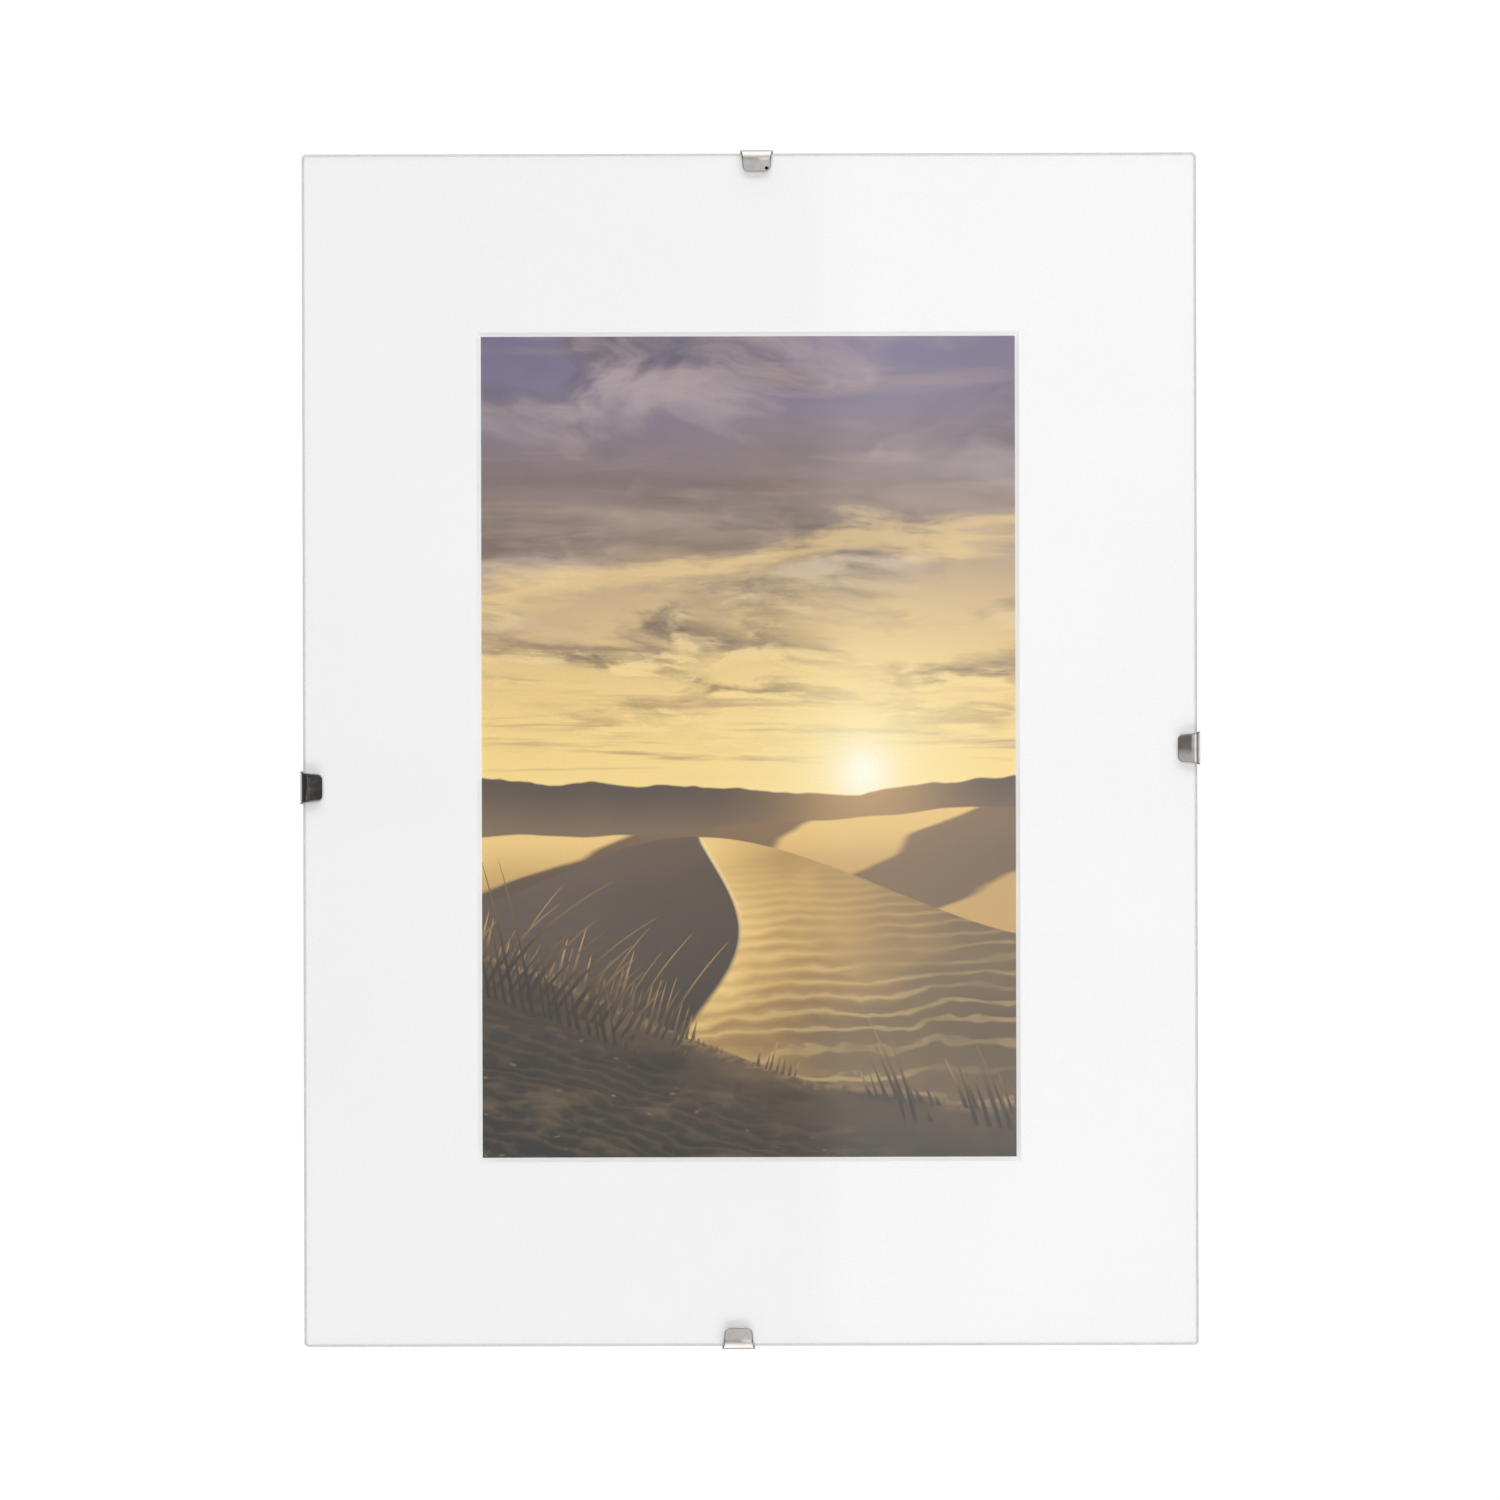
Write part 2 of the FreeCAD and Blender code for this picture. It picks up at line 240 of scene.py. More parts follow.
    def here(self):
        """The place on the object, in metres, in the frame's own axes."""
        return self.node("TexCoord").outputs["Object"]

    def normal(self):
        return self.node("TexCoord").outputs["Normal"]

    def principled(self, **inputs):
        n = self.node("BsdfPrincipled")
        for name, value in inputs.items():
            self.put(value, n.inputs[name.replace("_", " ")])
        return n

    def surface(self, shader):
        out = self.node("OutputMaterial")
        self.nt.links.new(shader.outputs[0], out.inputs["Surface"])


def new_material(name):
    m = bpy.data.materials.new(name)
    return m, Tree(m)


# ------------------------------------------------------------------ materials
def nickel(name, base=(0.75, 0.705, 0.675), rough=0.065, mark=None, dark_reflection=None):
    """Bright nickel plate on rolled spring steel: slightly cloudy, with faint handling scratches.

    mark is the place of a dark spot on the plating. The last argument gives the x and half width of a band along the
    crest darkened to near black, a painted dark reflection.
    """
    m, t = new_material(name)
    cloud = t.noise(t.mapped((420, 420, 420)), 1.0, 3.0, 0.55)
    roll = t.noise(t.mapped((260, 2600, 2600)), 1.0, 2.0, 0.5)
    hair = t.noise(t.mapped((9000, 1400, 900)), 1.0, 2.0, 0.5)
    fleck = t.noise(t.mapped((3800, 3800, 3800)), 1.0, 2.0, 0.5)
    colour = t.mix(t.smooth(cloud, 0.36, 0.66), tuple(c * 0.93 for c in base) + (1,), (*base, 1))
    colour = t.mix(t.smooth(fleck, 0.68, 0.76) * 0.30, colour, (base[0] * 0.72, base[1] * 0.71, base[2] * 0.70, 1))
    roughness = rough + t.smooth(cloud, 0.35, 0.7) * 0.04 + t.smooth(roll, 0.55, 0.75) * 0.04
    if mark:
        # a small ragged spot on the front of the lip, coloured near black and made rougher
        x, y, z = t.parts(t.here())
        dx, dz = (x - mark[0]) / 0.00066, (z - mark[1]) / 0.00060
        ragged = t.noise(t.mapped((1500, 1500, 1500)), 1.0, 2.0, 0.5)
        dark_spot = t.smooth(t.math("SQRT", dx * dx + dz * dz) + (ragged - 0.5) * 0.7, 1.15, 0.75) * t.smooth(y, GLASS_LO.y, GLASS_LO.y - 0.0003)
        colour = t.mix(dark_spot, colour, (0.018, 0.016, 0.015, 1))
        roughness = roughness + dark_spot * 0.4
    # painted dark reflection: a ragged band down the front of the crest, coloured near black
    if dark_reflection:
        x, y, z = t.parts(t.here())
        ragged = t.noise(t.mapped((300, 300, 900)), 1.0, 3.0, 0.6)
        painted_reflection = t.smooth(t.absolute(x - dark_reflection[0]) / dark_reflection[1] + (ragged - 0.5) * 0.5, 1.1, 0.6) * t.smooth(y, GLASS_LO.y, GLASS_LO.y - 0.0003)
        colour = t.mix(painted_reflection * 0.9, colour, (0.075, 0.068, 0.062, 1))
    bump = t.bump(hair + roll * 0.5, 0.0000012, 0.4)
    t.surface(t.principled(Base_Color=colour, Metallic=1.0, Roughness=roughness, Normal=bump))
    return m


def zinc(name):
    """Zinc-plated sheet steel: dull, faintly blue and straw-coloured patches, fine scratches."""
    m, t = new_material(name)
    patch = t.noise(t.mapped((180, 180, 180)), 1.0, 4.0, 0.6, 0.4)
    grain = t.noise(t.mapped((1500, 1500, 1500)), 1.0, 3.0, 0.6)
    scratch = t.noise(t.mapped((600, 900, 5200)), 1.0, 2.0, 0.5)
    colour = t.ramp(patch, [(0.30, (0.47, 0.50, 0.53, 1)), (0.48, (0.60, 0.61, 0.61, 1)), (0.62, (0.63, 0.60, 0.52, 1)), (0.75, (0.52, 0.54, 0.58, 1))])
    colour = t.mix(t.smooth(grain, 0.56, 0.74) * 0.4, colour, (0.36, 0.36, 0.36, 1))
    roughness = 0.24 + t.smooth(patch, 0.3, 0.7) * 0.10 + t.smooth(scratch, 0.55, 0.7) * 0.14
    bump = t.bump(grain + scratch * 0.5, 0.000006, 0.6)
    t.surface(t.principled(Base_Color=colour, Metallic=1.0, Roughness=roughness, Normal=bump))
    return m


def rivet_steel(name):
    m, t = new_material(name)
    cloud = t.noise(t.mapped((900, 900, 900)), 1.0, 3.0, 0.6)
    fine = t.noise(t.mapped((5200, 5200, 5200)), 1.0, 2.0, 0.5)
    colour = t.mix(t.smooth(cloud, 0.35, 0.68), (0.44, 0.43, 0.42, 1), (0.64, 0.63, 0.61, 1))
    roughness = 0.18 + t.smooth(cloud, 0.3, 0.7) * 0.14 + t.smooth(fine, 0.6, 0.75) * 0.1
    bump = t.bump(fine, 0.000004, 0.6)
    t.surface(t.principled(Base_Color=colour, Metallic=1.0, Roughness=roughness, Normal=bump))
    return m


def mat_board(name):
    """The mat's faced front: off-white paper with a soft felt tooth and scarce fibres."""
    m, t = new_material(name)
    tooth = t.noise(t.mapped((1300, 1300, 1300)), 1.0, 4.0, 0.6)
    felt = t.noise(t.mapped((330, 330, 330)), 1.0, 3.0, 0.5, 0.3)
    wide = t.noise(t.mapped((9, 9, 9)), 1.0, 2.0, 0.5)
    fibre = t.noise(t.mapped((2600, 2600, 420)), 1.0, 2.0, 0.6, 1.2)
    colour = t.mix(t.smooth(wide, 0.3, 0.7), (0.880, 0.872, 0.880, 1), (0.894, 0.887, 0.890, 1))
    colour = t.mix(t.smooth(tooth, 0.35, 0.7) * 0.5, colour, (0.965, 0.960, 0.962, 1))
    colour = t.mix(t.smooth(fibre, 0.70, 0.78) * 0.30, colour, (0.80, 0.79, 0.78, 1))
    bump = t.bump(tooth * 0.6 + felt, 0.000018, 0.5)
    t.surface(t.principled(Base_Color=colour, Roughness=t.linear(tooth, 0.3, 0.7, 0.78, 0.92), Normal=bump))
    return m


def mat_core(name):
    """The mat's cut bevel and edges: a whiter pulp core with the knife's fine marks."""
    m, t = new_material(name)
    pulp = t.noise(t.mapped((2400, 5200, 2400)), 1.0, 3.0, 0.6)
    knife = t.noise(t.mapped((260, 9000, 260)), 1.0, 2.0, 0.5)
    colour = t.mix(t.smooth(pulp, 0.3, 0.7), (0.945, 0.945, 0.948, 1), (0.975, 0.975, 0.978, 1))
    bump = t.bump(pulp + knife * 0.4, 0.00002, 0.5)
    t.surface(t.principled(Base_Color=colour, Roughness=t.linear(pulp, 0.3, 0.7, 0.82, 0.94), Normal=bump))
    return m


def paper_tape(name):
    m, t = new_material(name)
    crepe = t.noise(t.mapped((420, 420, 3600)), 1.0, 3.0, 0.6)
    fibre = t.noise(t.mapped((1600, 1600, 700)), 1.0, 3.0, 0.6, 1.0)
    colour = t.mix(t.smooth(fibre, 0.35, 0.7), (0.64, 0.54, 0.37, 1), (0.74, 0.65, 0.48, 1))
    bump = t.bump(crepe, 0.00003, 0.6)
    t.surface(t.principled(Base_Color=colour, Roughness=t.linear(fibre, 0.3, 0.7, 0.7, 0.88), Normal=bump))
    return m


def hardboard(name):
    """Pressed hardboard: a smooth brown face with darker fibre flecks and cloudy patches, and paler fuzzy cut edges."""
    m, t = new_material(name)
    cloud = t.noise(t.mapped((22, 22, 22)), 1.0, 4.0, 0.6, 0.3)
    mottle = t.noise(t.mapped((150, 150, 150)), 1.0, 4.0, 0.65, 0.6)
    a = t.noise(t.mapped((1500, 900, 260)), 1.0, 3.0, 0.6, 1.4)
    b = t.noise(t.mapped((240, 900, 1400)), 1.0, 3.0, 0.6, 1.4)
    fine = t.noise(t.mapped((2400, 2400, 2400)), 1.0, 3.0, 0.6)
    colour = t.mix(t.smooth(cloud, 0.32, 0.68), (0.145, 0.078, 0.041, 1), (0.195, 0.110, 0.060, 1))
    colour = t.mix(t.smooth(mottle, 0.38, 0.68) * 0.55, colour, (0.240, 0.142, 0.080, 1))
    colour = t.mix(t.smooth(a, 0.60, 0.70) * 0.75, colour, (0.080, 0.042, 0.023, 1))
    colour = t.mix(t.smooth(b, 0.61, 0.71) * 0.75, colour, (0.090, 0.048, 0.026, 1))
    colour = t.mix(t.smooth(a + b, 0.80, 0.64) * 0.45, colour, (0.330, 0.215, 0.130, 1))
    colour = t.mix(t.smooth(fine, 0.58, 0.74) * 0.25, colour, (0.30, 0.20, 0.125, 1))
    nx, ny, nz = t.parts(t.normal())
    edge = t.smooth(t.absolute(ny), 0.92, 0.55)
    fuzz = t.noise(t.mapped((900, 3800, 900)), 1.0, 4.0, 0.7, 0.8)
    cut = t.mix(t.smooth(fuzz, 0.3, 0.7), (0.130, 0.080, 0.047, 1), (0.330, 0.225, 0.145, 1))
    colour = t.mix(edge, colour, cut)
    roughness = t.linear(mottle, 0.3, 0.7, 0.34, 0.50) + edge * 0.38
    low = t.bump(mottle + fine * 0.25, 0.00005, 0.35)
    bump = t.bump(fuzz * edge, 0.00022, 0.8, low)
    t.surface(t.principled(Base_Color=colour, Roughness=roughness, Normal=bump))
    return m


def clear_glass(name):
    """Float glass. Rays from lamps pass straight through, so that the print behind is lit as it is behind real glass."""
    m, t = new_material(name)
    drawn = t.noise(t.mapped((14, 14, 5)), 1.0, 1.0, 0.4)
    wipe = t.noise(t.mapped((30, 30, 30)), 1.0, 3.0, 0.6, 1.5)
    tint = t.mix(t.smooth(wipe, 0.3, 0.7), (0.993, 0.994, 0.9935, 1), (0.996, 0.997, 0.9965, 1))
    g = t.principled(
        Base_Color=tint, Roughness=0.003, IOR=1.5, Transmission_Weight=1.0,
        Normal=t.bump(drawn, 0.00004, 0.10),
    )
    clear = t.node("BsdfTransparent")
    clear.inputs[0].default_value = (0.965, 0.965, 0.965, 1)
    path = t.node("LightPath")
    share = t.high(Num(t, path.outputs["Is Shadow Ray"]), Num(t, path.outputs["Is Diffuse Ray"]))
    mixer = t.node("MixShader")
    t.put(share, mixer.inputs[0])
    t.nt.links.new(g.outputs[0], mixer.inputs[1])
    t.nt.links.new(clear.outputs[0], mixer.inputs[2])
    t.surface(mixer)
    return m


def ground_glass(name):
    """The ground and half-polished rim: grey, with the wheel's marks running round it. It too lets lamp light through to the mat."""
    m, t = new_material(name)
    wheel = t.noise(t.mapped((700, 9000, 700)), 1.0, 3.0, 0.6)
    chips = t.noise(t.mapped((1100, 1100, 1100)), 1.0, 3.0, 0.6)
    colour = t.mix(t.smooth(chips, 0.35, 0.7), (0.64, 0.655, 0.65, 1), (0.74, 0.755, 0.75, 1))
    g = t.principled(
        Base_Color=colour, Roughness=t.linear(wheel, 0.3, 0.7, 0.30, 0.46), IOR=1.5, Transmission_Weight=0.80,
        Normal=t.bump(wheel + chips * 0.5, 0.00003, 0.5),
    )
    clear = t.node("BsdfTransparent")
    clear.inputs[0].default_value = (0.90, 0.90, 0.90, 1)
    path = t.node("LightPath")
    share = t.high(Num(t, path.outputs["Is Shadow Ray"]), Num(t, path.outputs["Is Diffuse Ray"]))
    mixer = t.node("MixShader")
    t.put(share, mixer.inputs[0])
    t.nt.links.new(g.outputs[0], mixer.inputs[1])
    t.nt.links.new(clear.outputs[0], mixer.inputs[2])
    t.surface(mixer)
    return m


# ------------------------------------------------------------------ the picture: dunes at dusk with shore grass
def picture(name):
    """A generic dune landscape in violet grey, gold and brown, drawn in the print's own plane.

    s runs from 0 to 1 across the opening and h from 0 to 1 up it. The ground is put together first and the sky after it.
    """
    m, t = new_material(name)
    x, y, z = t.parts(t.here())
    left, foot = WINDOW_X - WINDOW_W / 2, WINDOW_Z - WINDOW_H / 2
    s, h = (x - left) / WINDOW_W, (z - foot) / WINDOW_H
    tall = WINDOW_H / WINDOW_W

    def grain(sx, sy, detail, rough, dx=0.0, dy=0.0, distort=0.0):
        """Noise over the picture, with sx and sy cells to its width."""
        k = 1 / WINDOW_W
        return t.noise(t.mapped((sx * k, 0, sy * k), (dx - left * sx * k, 0, dy - foot * sy * k)), 1.0, detail, rough, distort)

    def line(seed, turns, detail=2.0):
        """Noise along s only, about 0."""
        return t.noise(None, 1.0, detail, 0.45, dims="1D", w=s * turns + seed) - 0.5

    sun_s, sun_h = 0.715, 0.468
    far2 = (s - sun_s) * (s - sun_s) + (h - sun_h) * (h - sun_h) * (tall * tall)
    wide_glow = t.math("EXPONENT", far2 * -7.0)
    glow = t.math("EXPONENT", far2 * -40.0)

    # the farthest ridge, pale with haze
    r1 = 0.456 + t.sin(s * 4.6 + 2.2) * 0.010 + line(3.1, 3.6, 4.0) * 0.040
    cover = t.smooth(h, r1 + 0.0016, r1 - 0.0014)
    ground = t.mix(t.smooth(h, r1, r1 - 0.07), lin(90, 79, 73), lin(126, 106, 84))
    ground = t.mix(glow * 0.55, ground, lin(236, 192, 126))

    # middle dunes: slopes towards the sun are gold, the others brown
    r2 = 0.408 + t.sin(s * 3.7 + 4.1) * 0.017 + line(8.4, 2.6, 2.0) * 0.034
    down2 = t.high(r2 - h, 0.0)
    in2 = t.smooth(h, r2 + 0.0014, r2 - 0.0012)
    spur = grain(2.3, 9.0, 2.0, 0.4, 4.0, 2.0)
    side2 = t.sin(s * 9.5 + down2 * 34.0 + 0.4) + (spur - 0.5) * 2.6
    lit2 = t.smooth(side2, -0.10, 0.16)
    dune2 = t.mix(lit2, t.mix(t.smooth(down2, 0.0, 0.06), lin(108, 87, 71), lin(92, 75, 61)), t.mix(t.smooth(down2, 0.0, 0.07), lin(236, 200, 128), lin(196, 158, 98)))
    dune2 = t.mix(wide_glow * 0.22, dune2, lin(226, 186, 128))
    ground = t.mix(in2, ground, dune2)

    # the big dune: its crest winds down towards the viewer and parts the lit side from the shaded one
    r3 = 0.392 - t.smooth(s, 0.40, -0.06, 0.0, 0.088) - t.smooth(s, 0.42, 1.08, 0.0, 0.128) + t.sin(s * 8.0 + 0.6) * 0.0035
    in3 = t.smooth(h, r3 + 0.0012, r3 - 0.0008)
    drop = 0.392 - h
    ridge = 0.405 + t.sin(drop * 17.0) * (0.035 + drop * 0.22) + drop * 0.20
    side3 = s - ridge
    lit3 = t.smooth(side3, drop * -0.030 - 0.0025, drop * 0.030 + 0.0025)
    broad = grain(3.0, 5.0, 3.0, 0.5, 1.0, 6.0, 0.3)
    # wind ripples: closer together with distance, bending with the slope
    near = t.high(0.47 - h, 0.03)
    lane = (s - 1.35) / near * 3.1 + t.math("LOGARITHM", near, 2.718282) * 78.0 + broad * 17.0
    fork = grain(11.0, 24.0, 3.0, 0.55, 2.0, 0.0)
    wave = t.sin(lane + fork * 8.0)
    strength = t.smooth(near, 0.09, 0.24) * t.smooth(grain(4.0, 9.0, 3.0, 0.5, 7.0, 3.0), 0.36, 0.60, 0.25, 1.0)
    sand = t.ramp(
        t.clamp(side3 * 1.05 + drop * 0.75 + (broad - 0.5) * 0.5),
        [(0.0, lin(246, 214, 144)), (0.12, lin(228, 190, 118)), (0.28, lin(184, 149, 92)), (0.52, lin(126, 104, 72)), (1.0, lin(80, 69, 54))],
    )
    sand = t.mix(t.smooth(wave, -0.2, 1.0) * strength * 0.30, sand, lin(104, 83, 62))
    sand = t.mix(t.smooth(wave, -0.35, -1.0) * strength * 0.26, sand, lin(250, 216, 150))
    shade = t.ramp(
        t.clamp(drop * 2.9 + (broad - 0.5) * 0.35),
        [(0.0, lin(104, 86, 73)), (0.25, lin(84, 72, 62)), (0.6, lin(66, 58, 50)), (1.0, lin(50, 45, 39))],
    )
    shade = t.mix(t.smooth(side3, -0.01, -0.36) * 0.34, shade, lin(112, 98, 88))
    shade = t.mix(t.smooth(wave, 0.0, 1.0) * strength * 0.22, shade, lin(56, 50, 46))
    ground = t.mix(in3, ground, t.mix(lit3, shade, sand))
    rim = t.smooth(t.absolute(side3), 0.006, 0.001) * t.smooth(drop, 0.0, 0.01) * t.smooth(drop, 0.20, 0.05)
    ground = t.mix(rim * in3 * 0.55, ground, lin(255, 232, 172))

    # the near dune, low and in shade
    def near_crest(a):
        return 0.226 - a * 0.176 + t.sin(a * 5.2 + 1.7) * 0.022

    r4 = near_crest(s) + line(9.0, 6.0, 3.0) * 0.014
    deep = t.high(r4 - h, 0.0)
    in4 = t.smooth(h, r4 + 0.0012, r4 - 0.0010)
    coarse = grain(30.0, 62.0, 5.0, 0.68, 3.0, 1.0)
    low = t.ramp(
        t.clamp(deep * 4.6 + (coarse - 0.5) * 0.30),
        [(0.0, lin(140, 114, 80)), (0.05, lin(88, 73, 56)), (0.3, lin(60, 52, 43)), (1.0, lin(38, 34, 29))],
    )
    low = t.mix(t.smooth(coarse, 0.52, 0.70) * 0.45, low, lin(104, 90, 72))
    low = t.mix(t.smooth(coarse, 0.46, 0.34) * 0.50, low, lin(34, 30, 27))
    # hollows, wind marks and a few stones
    hollow = grain(5.0, 14.0, 4.0, 0.55, 6.0, 2.0)
    low = t.mix(t.smooth(hollow, 0.50, 0.68) * 0.50, low, lin(122, 101, 74))
    low = t.mix(t.smooth(hollow, 0.46, 0.30) * 0.55, low, lin(30, 27, 24))
    marks = t.sin(deep * 420.0 + hollow * 30.0 + s * 24.0)
    low = t.mix(t.smooth(marks, 0.2, 1.0) * t.smooth(deep, 0.01, 0.10) * 0.22, low, lin(112, 93, 70))
    stones = t.smooth(grain(46.0, 90.0, 1.0, 0.3, 8.0, 5.0), 0.70, 0.76) * t.smooth(deep, 0.02, 0.10)
    low = t.mix(stones * 0.7, low, lin(136, 118, 94))
    ground = t.mix(in4, ground, low)

    # shore grass: blades root on the near dune, lean with the wind and thin out to their tips
    def grass(view, cover, count, seed, lo, hi, sink, tallest, lean, thick, dark, tip):
        above = h - near_crest(s) + sink
        u = s * count - above * above * (lean * count) - above * (lean * count * 0.35)
        cell = t.floor(u)
        a, b, c = t.chance(cell + seed)
        clump = t.noise(None, 1.0, 2.0, 0.6, dims="1D", w=cell * (5.5 / count) + seed)
        root = cell / count
        grown = t.smooth(clump, 0.34, 0.62) * t.smooth(root, lo, lo + 0.06) * t.smooth(root, hi, hi - 0.10)
        up = above / ((a * 0.75 + 0.25) * grown * tallest + 0.0001)
        off = t.absolute(t.math("FRACT", u) - 0.5 + (b - 0.5) * 0.5 + (c - 0.5) * up * 0.45)
        width = t.high(1.0 - up, 0.0) * (c * 0.5 + 0.5) * thick
        blade = t.smooth(off, width + 0.07, width - 0.03) * t.smooth(up, 1.0, 0.93) * t.smooth(up, -0.02, 0.0) * t.smooth(grown, 0.05, 0.2)
        return t.mix(blade, view, t.mix(t.smooth(up, 0.15, 0.95) * a, dark, tip)), t.high(cover, blade)

    cover = t.high(cover, t.high(in2, in3))
    for layer in (
        (88.0, 3.0, -0.10, 0.62, 0.004, 0.105, 0.9, 0.34, lin(96, 80, 60), lin(206, 168, 104)),
        (64.0, 41.0, -0.10, 0.50, 0.018, 0.165, 1.6, 0.30, lin(72, 61, 48), lin(190, 152, 92)),
        (52.0, 77.0, -0.10, 0.40, 0.034, 0.225, 2.2, 0.27, lin(54, 47, 39), lin(160, 128, 80)),
        (58.0, 113.0, -0.10, 0.34, 0.050, 0.200, -0.7, 0.25, lin(46, 40, 34), lin(134, 108, 70)),
        (60.0, 149.0, 0.66, 1.20, 0.010, 0.120, -1.6, 0.30, lin(60, 52, 42), lin(168, 134, 84)),
        (46.0, 191.0, 0.74, 1.20, 0.030, 0.170, -1.1, 0.26, lin(46, 40, 34), lin(140, 112, 72)),
    ):
        ground, cover = grass(ground, cover, *layer)

    # sky: violet grey above, gold at the horizon
    sky = t.ramp(
        h,
        [
            (0.40, lin(250, 222, 148)), (0.48, lin(246, 214, 138)), (0.58, lin(236, 202, 132)),
            (0.68, lin(196, 168, 130)), (0.77, lin(150, 130, 122)), (0.87, lin(130, 119, 134)), (1.0, lin(116, 108, 144)),
        ],
        "B_SPLINE",
    )
    sky = t.mix(wide_glow * 0.60, sky, lin(252, 224, 156))
    # clouds hang in a flat layer, so they crowd together towards the horizon
    den = t.high(h - 0.345, 0.07)
    cx, cy = (s - sun_s) / den, 1.0 / den
    bend = grain(2.4, 3.6, 3.0, 0.5, 0.0, 2.0)
    bank = t.noise(t.xyz(cx * 0.62 + bend * 0.8, cy * 0.95 + bend * 0.6, 0.0), 1.0, 7.0, 0.60)
    bank_sun = t.noise(t.xyz(cx * 0.56 + bend * 0.8, cy * 0.95 + bend * 0.6 + 0.16, 0.0), 1.0, 7.0, 0.60)
    zone = t.smooth(h, 0.475, 0.60)
    thick = t.smooth(bank, 0.42, 0.585) * zone
    lit = t.smooth(bank - bank_sun, -0.05, 0.09)
    body = t.mix(t.smooth(h, 0.52, 0.88), lin(104, 85, 72), lin(86, 79, 90))
    edge = t.mix(t.smooth(h, 0.52, 0.84), lin(252, 220, 146), lin(172, 156, 158))
    sky = t.mix(thick * 0.88, sky, t.mix(lit, body, edge))
    # a long grey bank over the left, torn below, with a lit lower edge
    torn = grain(2.6, 13.0, 6.0, 0.62, 5.0, 1.4, 0.3)
    base = 0.715 + (s - 0.35) * 0.10 + (torn - 0.5) * 0.16
    mass = t.smooth(h, base, base + 0.05) * t.smooth(h, 0.93, 0.80) * t.smooth(grain(1.5, 6.0, 5.0, 0.6, 3.0, 8.0), 0.34, 0.56)
    sky = t.mix(t.smooth(h, base - 0.035, base) * t.smooth(h, base + 0.03, base) * 0.55, sky, lin(248, 214, 146))
    sky = t.mix(mass * 0.62, sky, t.mix(t.smooth(torn, 0.35, 0.65), lin(96, 80, 72), lin(128, 110, 104)))
    veil = grain(1.6, 15.0, 5.0, 0.62, 2.0, 3.7, 0.4)
    sky = t.mix(t.smooth(veil, 0.50, 0.74) * t.smooth(h, 0.50, 0.62) * 0.34, sky, lin(196, 172, 152))
    bars = grain(1.9, 30.0, 4.0, 0.6, 9.0, 1.2, 0.3)
    sky = t.mix(t.smooth(bars, 0.52, 0.66) * t.smooth(h, 0.455, 0.485) * t.smooth(h, 0.60, 0.53) * 0.62, sky, lin(160, 130, 108))
    sky = t.mix(glow * 0.80, sky, lin(255, 238, 180))
    sky = t.mix(t.math("EXPONENT", far2 * -340.0), sky, lin(255, 251, 230))
    view = t.mix(cover, sky, ground)

    # the print's own look: fine grain, darker corners, and white paper outside the printed area
    es, eh = s * 2.0 - 1.0, h * 2.0 - 1.0
    view = t.mix(t.smooth(es * es * 0.55 + eh * eh * 0.45, 0.45, 1.0) * 0.14, view, lin(58, 54, 56))
    view = t.mix(t.smooth(grain(260.0, 260.0, 2.0, 0.6), 0.30, 0.70) * 0.07, view, lin(120, 110, 104))
    bare = t.high(t.smooth(t.absolute(es), 1.077, 1.078), t.smooth(t.absolute(eh), 1.067, 1.068))
    front = t.smooth(t.parts(t.normal())[1], -0.5, -0.9)
    view = t.mix(t.high(bare, 1.0 - front), view, (0.86, 0.86, 0.85, 1))
    fine = t.noise(t.mapped((1800, 1800, 1800)), 1.0, 2.0, 0.5)
    t.surface(
        t.principled(
            Base_Color=view, Roughness=t.linear(fine, 0.3, 0.7, 0.34, 0.42), Specular_IOR_Level=0.12,
            Normal=t.bump(fine, 0.000006, 0.4),
        )
    )
    return m


# ------------------------------------------------------------------ meshes
def piece(name, mesh, body, replaces=None, materials=()):
    o = bpy.data.objects.new(name, mesh)
    bpy.context.scene.collection.objects.link(o)
    for m in materials:
        mesh.materials.append(m)
    if replaces:
        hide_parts(replaces)
    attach(o, body)
    return o


def shade(mesh, angle=None):
    for f in mesh.polygons:
        f.use_smooth = True
    if angle is not None:
        mesh.set_sharp_from_angle(angle=math.radians(angle))


def ring_points(half_w, half_h, dub, inset):
    """The glass outline, an oblong with small corner cuts, moved inwards by inset."""
    w, h = half_w - inset, half_h - inset
    d = dub - inset * (2 - math.sqrt(2))
    return [
        (-w + d, -h), (w - d, -h), (w, -h + d), (w, h - d),
        (w - d, h), (-w + d, h), (-w, h - d), (-w, -h + d),
    ]


def glass_mesh():
    """The glass with its rim ground round. Its back stands 0.03 mm off the mat, as air does."""
    bm = bmesh.new()
    half_w, half_h = (GLASS_HI.x - GLASS_LO.x) / 2, (GLASS_HI.z - GLASS_LO.z) / 2
    front, back = GLASS_LO.y, GLASS_HI.y - 0.03 * MM
    r = 0.9 * MM
    steps = 9
    prof = [(r * (1 - math.sin(a)), front + r * (1 - math.cos(a))) for a in (math.pi / 2 * k / steps for k in range(steps + 1))]
    prof += [(i, front + back - y) for i, y in reversed(prof)]
    rings = []
    for inset, y in prof:
        rings.append([bm.verts.new((px, y, CZ + pz)) for px, pz in ring_points(half_w, half_h, 1.0 * MM, inset)])
    for a, b in zip(rings, rings[1:]):
        for i in range(8):
            f = bm.faces.new((a[i], a[(i + 1) % 8], b[(i + 1) % 8], b[i]))
            f.material_index = 1
            f.smooth = True
    f = bm.faces.new(rings[0])
    f.material_index = 0
    g = bm.faces.new(list(reversed(rings[-1])))
    g.material_index = 0
    bmesh.ops.recalc_face_normals(bm, faces=bm.faces)
    mesh = bpy.data.meshes.new("glass")
    bm.to_mesh(mesh)
    bm.free()
    return mesh


